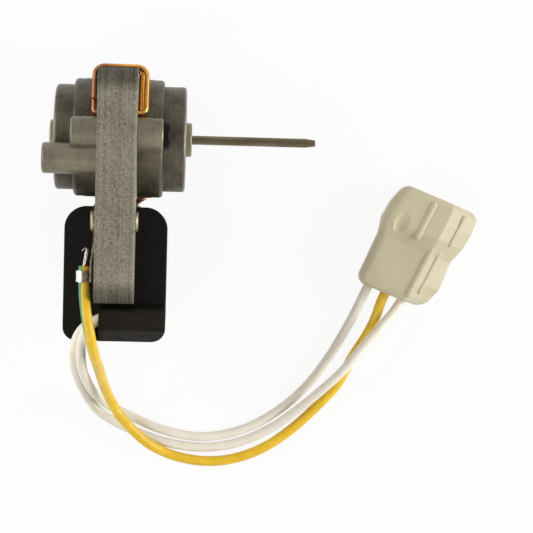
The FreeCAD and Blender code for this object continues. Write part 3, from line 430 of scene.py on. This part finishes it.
# The legs along Y: their middle, and how far from it the torn edge turns into a smooth end, which is also
# painted darker as painted shade where the rounded ends turn from the light
LEG_MIDDLE = -15.3
LEG_SMOOTH_FROM = 29.8
LEG_SMOOTH_TO = 33.4
# The share of the speckle that is left on the smooth ends
SMOOTH_SPECKLE = 0.35


def punched_laminations():
    """Electrical steel sheets, punched and stacked: fine edge lines and a torn grain along each edge.

    Each sheet is a little darker or paler. They are 0.5 mm thick, and drawn at 0.62 mm so that they show.
    """
    material, tree, shader, place = new_finish("punched_electrical_steel", metallic=0.35)
    axes = add_node(tree, "SeparateXYZ", links={0: place})
    count = add_node(tree, "Math", {1: SHEET_START}, {0: axes.outputs["X"]}, operation="ADD")
    count = add_node(tree, "Math", {1: 1 / SHEET}, {0: count.outputs[0]}, operation="MULTIPLY").outputs[0]
    number = add_node(tree, "Math", operation="FLOOR", links={0: count})
    sheet = add_node(tree, "TexWhiteNoise", noise_dimensions="1D", links={"W": number.outputs[0]})
    edge = add_node(tree, "Math", {1: 0.5}, {0: count}, operation="PINGPONG")
    joint = add_node(tree, "MapRange", {"From Max": SHEET_BURR}, {"Value": edge.outputs[0]})
    torn = grain(tree, place, (0.45, 1.6, 1.6), 4.0)
    pits = grain(tree, place, (0.42, 0.42, 0.42), 2.0)
    cloud = grain(tree, place, (9.0, 14.0, 14.0), 2.0)
    off = add_node(tree, "Math", {1: LEG_MIDDLE}, {0: axes.outputs["Y"]}, operation="SUBTRACT")
    off = add_node(tree, "Math", operation="ABSOLUTE", links={0: off.outputs[0]})
    # The smooth ends keep less speckle and are painted darker, as painted shade
    end = add_node(tree, "MapRange", {"From Min": LEG_SMOOTH_FROM, "From Max": LEG_SMOOTH_TO},
                   {"Value": off.outputs[0]})
    # The last sheet's burr: a painted highlight
    last = add_node(tree, "MapRange", {"From Min": LAST_SHEET, "From Max": LAST_SHEET + LAST_SHEET_EDGE},
                    {"Value": axes.outputs["X"]})
    lines = grain(tree, place, (0.5, 14.0, 14.0), 1.0)
    rough_part = add_node(tree, "MapRange", {"To Min": 1.0, "To Max": SMOOTH_SPECKLE},
                          {"Value": end.outputs[0]})
    speckle = add_node(tree, "Math", {1: 0.5}, {0: pits}, operation="SUBTRACT")
    speckle = add_node(tree, "Math", operation="MULTIPLY",
                       links={0: speckle.outputs[0], 1: rough_part.outputs[0]})
    pattern = weigh(tree, (sheet.outputs["Value"], 0.05), (joint.outputs[0], 0.06), (torn, 0.14),
                    (lines, 0.07), (speckle.outputs[0], 0.42), (cloud, 0.16), (end.outputs[0], -0.13),
                    (last.outputs[0], 0.12))
    dress(tree, shader, pattern, "#403b30", "#a09a85", (0.74, 0.5), 0.05, (0.10, 0.40))
    return material


# The castings along X: the middle between them, and how far from it their machined end faces and bosses
# lie, which are painted brightest, partly for the machined finish and partly as a painted highlight
BRACKETS_MIDDLE = -23.5
BOSS_FROM = 21.0
BOSS_EDGE = 0.1
# Out from the shaft's axis: where the posts begin round the end faces, and the lugs outside the cups, which
# with the posts are painted paler as painted light
POSTS_FROM = 18.0
POSTS_EDGE = 1.0
LUGS_FROM = 21.2
LUGS_EDGE = 0.4
# Lathe lines in a millimetre
LATHE_LINES = 2.4


def turned_casting():
    """Zinc alloy castings with turned steps: dark warm grey, with fine lathe lines round the shaft.

    The cups are darkest, the lugs and posts are painted paler as painted light where they face the light,
    and the machined ends and bosses are brightest, partly for their machined finish and partly as a painted
    highlight.
    """
    material, tree, shader, place = new_finish("turned_zinc_casting", metallic=0.4)
    axes = add_node(tree, "SeparateXYZ", links={0: place})
    flat = add_node(tree, "CombineXYZ", links={"Y": axes.outputs["Y"], "Z": axes.outputs["Z"]})
    radius = add_node(tree, "VectorMath", operation="LENGTH", links={0: flat.outputs[0]}).outputs["Value"]
    run = add_node(tree, "Math", operation="ADD", links={0: radius, 1: axes.outputs["X"]})
    lathe = add_node(tree, "TexNoise", {"Scale": LATHE_LINES, "Detail": 2.0}, {"W": run.outputs[0]},
                     noise_dimensions="1D")
    pits = grain(tree, place, (0.5, 0.5, 0.5), 3.0)
    cloud = grain(tree, place, (7.0, 7.0, 7.0), 3.0)
    off = add_node(tree, "Math", {1: BRACKETS_MIDDLE}, {0: axes.outputs["X"]}, operation="SUBTRACT")
    off = add_node(tree, "Math", operation="ABSOLUTE", links={0: off.outputs[0]})
    boss = add_node(tree, "MapRange", {"From Min": BOSS_FROM, "From Max": BOSS_FROM + BOSS_EDGE},
                    {"Value": off.outputs[0]})
    inner = add_node(tree, "MapRange", {"From Min": POSTS_FROM + POSTS_EDGE, "From Max": POSTS_FROM},
                     {"Value": radius})
    # Lugs and posts: painted light
    outer = add_node(tree, "MapRange", {"From Min": LUGS_FROM, "From Max": LUGS_FROM + LUGS_EDGE},
                     {"Value": radius})
    # The machined ends and bosses: partly their finish, partly a painted highlight
    bright = add_node(tree, "Math", operation="MULTIPLY", links={0: boss.outputs[0], 1: inner.outputs[0]})
    pattern = weigh(tree, (lathe.outputs[0], 0.18), (pits, 0.24), (cloud, 0.50), (bright.outputs[0], 0.42),
                    (outer.outputs[0], 0.22))
    dress(tree, shader, pattern, "#3a3427", "#8a836e", (0.46, 0.32), 0.02, (0.36, 0.80))
    return material


# The upper ring along X: painted brown on the left as painted shade, and orange on the right as painted
# light
RING_SHADED_TO = -30.0
RING_LIT_FROM = -20.0


def drawn_copper():
    """Bare round copper wire bent by hand: painted orange on its right side as painted light, and painted
    brown on its left side as painted shade.
    """
    material, tree, shader, place = new_finish("drawn_copper", metallic=1.0)
    axes = add_node(tree, "SeparateXYZ", links={0: place})
    # Painted light and shade: brown on the left, orange on the right
    side = add_node(tree, "MapRange", {"From Min": RING_SHADED_TO, "From Max": RING_LIT_FROM},
                    {"Value": axes.outputs["X"]})
    stains = grain(tree, place, (2.2, 2.2, 2.2), 3.0)
    scratches = grain(tree, place, (0.3, 0.3, 0.3))
    pattern = weigh(tree, (stains, 0.5), (scratches, 0.2), (side.outputs[0], 0.35))
    dress(tree, shader, pattern, "#a86f4e", "#f2ae50", (0.40, 0.24), 0.012, (0.35, 0.75))
    return material


# The crimp along X: it is painted white to the left of this as a painted highlight, with a soft edge to
# each side
CRIMP_HIGHLIGHT_TO = -34.45
HIGHLIGHT_EDGE = 0.2


def brass_with_painted_highlight():
    """Stamped brass, brown with tarnish, whose crimp is painted white on its outer side as a painted
    highlight.
    """
    material, tree, shader, place = new_finish("brass_with_painted_highlight", metallic=0.9)
    axes = add_node(tree, "SeparateXYZ", links={0: place})
    # The crimp's outer side: a painted highlight
    crimp_highlight = add_node(tree, "MapRange",
                   {"From Min": CRIMP_HIGHLIGHT_TO + HIGHLIGHT_EDGE, "From Max": CRIMP_HIGHLIGHT_TO - HIGHLIGHT_EDGE},
                   {"Value": axes.outputs["X"]})
    pattern = weigh(tree, (grain(tree, place, (0.8, 1.6, 0.8), 3.0), 0.5), (crimp_highlight.outputs[0], 0.6))
    dress(tree, shader, pattern, "#6b573b", "#f4ece2", (0.46, 0.3), 0.01, (0.18, 0.82))
    return material


# The stripe's half width and soft edge, and its waver, as shares of the way round the lead
STRIPE_HALF = 0.10
STRIPE_EDGE = 0.015
STRIPE_WAVER = 0.04


def stripe_insulation():
    """Smooth PVC on the earth lead: yellow, with one green stripe along it."""
    material, tree, shader, place = new_finish("earth_pvc")
    where = add_node(tree, "TexCoord")
    axes = add_node(tree, "SeparateXYZ", links={0: where.outputs["UV"]})
    wobble = grain(tree, place, (6.0, 6.0, 6.0), 1.0)
    shifted = weigh(tree, (axes.outputs["X"], 1.0), (wobble, STRIPE_WAVER))
    centre = add_node(tree, "Math", {1: 0.5}, {0: shifted}, operation="PINGPONG")
    stripe = add_node(tree, "MapRange", {"From Min": STRIPE_HALF + STRIPE_EDGE, "From Max": STRIPE_HALF},
                      {"Value": centre.outputs[0]})
    cloud = grain(tree, place, (5.0, 5.0, 5.0), 3.0)
    yellow = dress(tree, shader, cloud, "#e2b41f", "#ecc430", (0.44, 0.36), 0.004)
    green = add_node(tree, "Mix", {MIX_B: colour("#3f8f63")},
                     {MIX_SHARE: stripe.outputs[0], MIX_A: yellow}, data_type="RGBA")
    tree.links.new(green.outputs[MIX_RESULT], shader.inputs["Base Color"])
    return material


# Each finish has its pieces, dark and pale colours, matt and glossy roughness, metallic, grain along X, Y
# and Z, and relief. The comment above each says what the real material shows.
PLAIN_FINISHES = {
    # glass-filled nylon, moulded black: satin, with faint flow marks
    "moulded_black_nylon": (
        ("bobbin",), "#100f0c", "#171512", (0.50, 0.40), 0.0, (3.0, 3.0, 3.0), 0.01),
    # the cover's nylon: browner than the bobbin's, and a little paler as a painted sheen
    "brownish_black_nylon": (
        ("lead_cover",), "#1a1713", "#231f1a", (0.48, 0.36), 0.0, (5.0, 2.0, 2.0), 0.01),
    # black tape wound round the coil: a little duller than the nylon
    "wound_black_tape": (
        ("coil_tape",), "#0d0d0c", "#161614", (0.6, 0.45), 0.0, (0.8, 0.8, 6.0), 0.03),
    # enamelled wire under the tape: red-brown, glossy, in fine turns
    "enamelled_winding": (
        ("winding",), "#7a3f22", "#a45a30", (0.4, 0.28), 0.9, (0.3, 0.3, 3.0), 0.05),
    # drawn and ground shaft steel: brownish, with streaks along it that are partly grinding marks and
    # partly painted sheen
    "ground_shaft_steel": (
        ("shaft",), "#655a46", "#7d715a", (0.36, 0.26), 0.95, (14.0, 0.9, 0.9), 0.002),
    # copper wire painted brown as painted shade, where the ring lies in shadow under the casting
    "copper_in_painted_shade": (
        ("lower_shading_ring",), "#8f5f48", "#c98f6c", (0.42, 0.28), 1.0, (1.6, 1.6, 1.6), 0.012),
    # plated rivets: bright, dulled by setting
    "plated_rivet_steel": (
        ("leg_rivets",), "#8a7f66", "#aea288", (0.5, 0.36), 1.0, (1.2, 1.2, 1.2), 0.01),
    # black oxide screws: near black, with a low sheen
    "blackened_screw_steel": (
        ("assembly_screws",), "#080807", "#11110f", (0.40, 0.30), 0.0, (1.0, 1.0, 1.0), 0.01),
    # brass contacts in the plug: bright yellow, smooth
    "contact_brass": (
        ("connector_contacts",), "#b0935a", "#d2b878", (0.34, 0.24), 1.0, (1.0, 1.0, 1.0), 0.0),
    # natural nylon plug: cream, semi-gloss, a little cloudy
    "natural_nylon": (
        ("connector_housing",), "#c1b696", "#c9bfa1", (0.42, 0.34), 0.0, (12.0, 12.0, 12.0), 0.006),
    # white PVC on the two mains leads: smooth, with slight waves
    "white_pvc": (
        ("white_left_lead", "white_right_lead"), "#ebe2d0", "#f0e9d9",
        (0.45, 0.37), 0.0, (4.0, 4.0, 4.0), 0.008),
    # sheet steel of the core bar: grey and grained across, as the legs
    "core_bar_steel": (
        ("coil_core",), "#5d584d", "#a39c8c", (0.7, 0.5), 0.35, (0.5, 3.0, 3.0), 0.03),
    # oil-filled sintered bronze: brown, with a fine open grain
    "sintered_bronze": (
        ("front_bearing", "rear_bearing"), "#7a5d3a", "#a3814f",
        (0.5, 0.4), 0.9, (0.3, 0.3, 0.3), 0.01),
    # pressed wool felt: tan, matt and fibrous
    "pressed_felt": (
        ("front_oil_felt", "rear_oil_felt"), "#a8997c", "#cdbf9f",
        (0.95, 0.85), 0.0, (0.5, 0.5, 0.5), 0.08),
    # spring steel caps: plain grey with a soft shine
    "pressed_spring_steel": (
        ("front_bearing_retainer", "rear_bearing_retainer"), "#7d7c78", "#a9a7a0",
        (0.4, 0.3), 1.0, (1.5, 1.5, 1.5), 0.005),
    # nylon thrust washers: cream and smooth
    "washer_nylon": (
        ("front_thrust_washer", "rear_thrust_washer"), "#d6cfbd", "#ebe5d6",
        (0.5, 0.4), 0.0, (1.0, 1.0, 1.0), 0.0),
    # turned brass sleeves: yellow, with fine lines round them
    "turned_brass": (
        ("front_rotor_spacer", "rear_rotor_spacer"), "#a88a4c", "#cdb271",
        (0.36, 0.26), 1.0, (0.3, 3.0, 3.0), 0.005),
    # rotor sheets turned after casting: grey, with lines round them
    "turned_rotor_steel": (
        ("rotor_stack",), "#6d6a64", "#97938b", (0.45, 0.35), 0.8, (0.4, 5.0, 5.0), 0.01),
    # die-cast aluminium bars and end rings: pale, slightly uneven
    "cast_aluminium": (
        ("rotor_cage",), "#a3a29e", "#c6c5c0", (0.5, 0.4), 1.0, (1.5, 1.5, 1.5), 0.02),
    # tinned copper strands: bright and pale
    "tinned_strands": (
        ("conductor_strands",), "#a9a59b", "#d9d5ca", (0.36, 0.24), 1.0, (0.6, 0.6, 0.6), 0.0),
}

DULL_BLACKS = ("moulded_black_nylon", "wound_black_tape", "brownish_black_nylon", "blackened_screw_steel")


# ---- Bare end of the earth lead ----

# The bare end's axis in X and Z, its lower and upper ends in Y, and how far its top leans to the right
STRAND_AXIS = (-33.75, 23.5)
STRAND_BOTTOM = -41.4
STRAND_TOP = -35.7
STRAND_LEAN = 0.85
# The strands: how many, the radius of each and of the ring round the middle one, the length of one twist,
# the steps and sides of each tube, and what each one of three is shorter by than the one before it
STRAND_COUNT = 7
STRAND_RADIUS = 0.18
STRAND_RING = 0.36
STRAND_LAY = 13.0
STRAND_STEPS = 12
STRAND_SIDES = 8
STRAND_STAGGER = 0.35
STRAND_SIDE = Vector((1, 0, 0))
# The strand that has sprung away: its route, and its thickness as a share of the others'
STRAY_ROUTE = ((-33.2, -37.4, 23.9), (-32.9, -35.9, 24.0), (-33.1, -35.2, 24.2), (-33.9, -35.6, 24.3),
               (-34.4, -36.3, 24.3))
STRAY_SHARE = 0.8


def conductor_strands():
    """Seven tinned strands twisted together above the crimp, with one more that has sprung away."""
    shape = bmesh.new()
    x, z = STRAND_AXIS
    for number in range(STRAND_COUNT):
        ring = STRAND_RING if number else 0.0
        top = STRAND_TOP - STRAND_STAGGER * (number % 3)
        places = []
        for step in range(STRAND_STEPS + 1):
            y = STRAND_BOTTOM + (top - STRAND_BOTTOM) * step / STRAND_STEPS
            angle = math.tau * (number / (STRAND_COUNT - 1) + (y - STRAND_BOTTOM) / STRAND_LAY)
            lean = STRAND_LEAN * step / STRAND_STEPS
            places.append(Vector((x + lean + ring * math.cos(angle), y, z + ring * math.sin(angle))) * MM)
        sweep(shape, places, STRAND_RADIUS * MM, STRAND_SIDES, STRAND_SIDE)
    sweep(shape, route_line(STRAY_ROUTE), STRAND_RADIUS * MM * STRAY_SHARE, STRAND_SIDES, STRAND_SIDE)
    strands = finish_mesh("conductor_strands", shape)
    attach(strands, "stator")
    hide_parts("earth_conductor")


conductor_strands()


# ---- Finishes on their pieces ----

def paint(name, material):
    """Puts one material all over a piece."""
    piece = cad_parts.get(name) or bpy.data.objects[name]
    if not piece.material_slots:
        piece.data.materials.append(material)
    for slot in piece.material_slots:
        slot.material = material


for finish_name, (names, dark, pale, matt, metal, size, relief) in PLAIN_FINISHES.items():
    gloss = DULL_GLOSS if finish_name in DULL_BLACKS else PLAIN_GLOSS
    material, tree, shader, place = new_finish(finish_name, metal, gloss)
    dress(tree, shader, grain(tree, place, size), dark, pale, matt, relief)
    for name in names:
        paint(name, material)

paint("stator_core", punched_laminations())
casting = turned_casting()
paint("front_bracket", casting)
paint("rear_bracket", casting)
paint("upper_shading_ring", drawn_copper())
paint("earth_lead", stripe_insulation())
paint("earth_terminal", brass_with_painted_highlight())
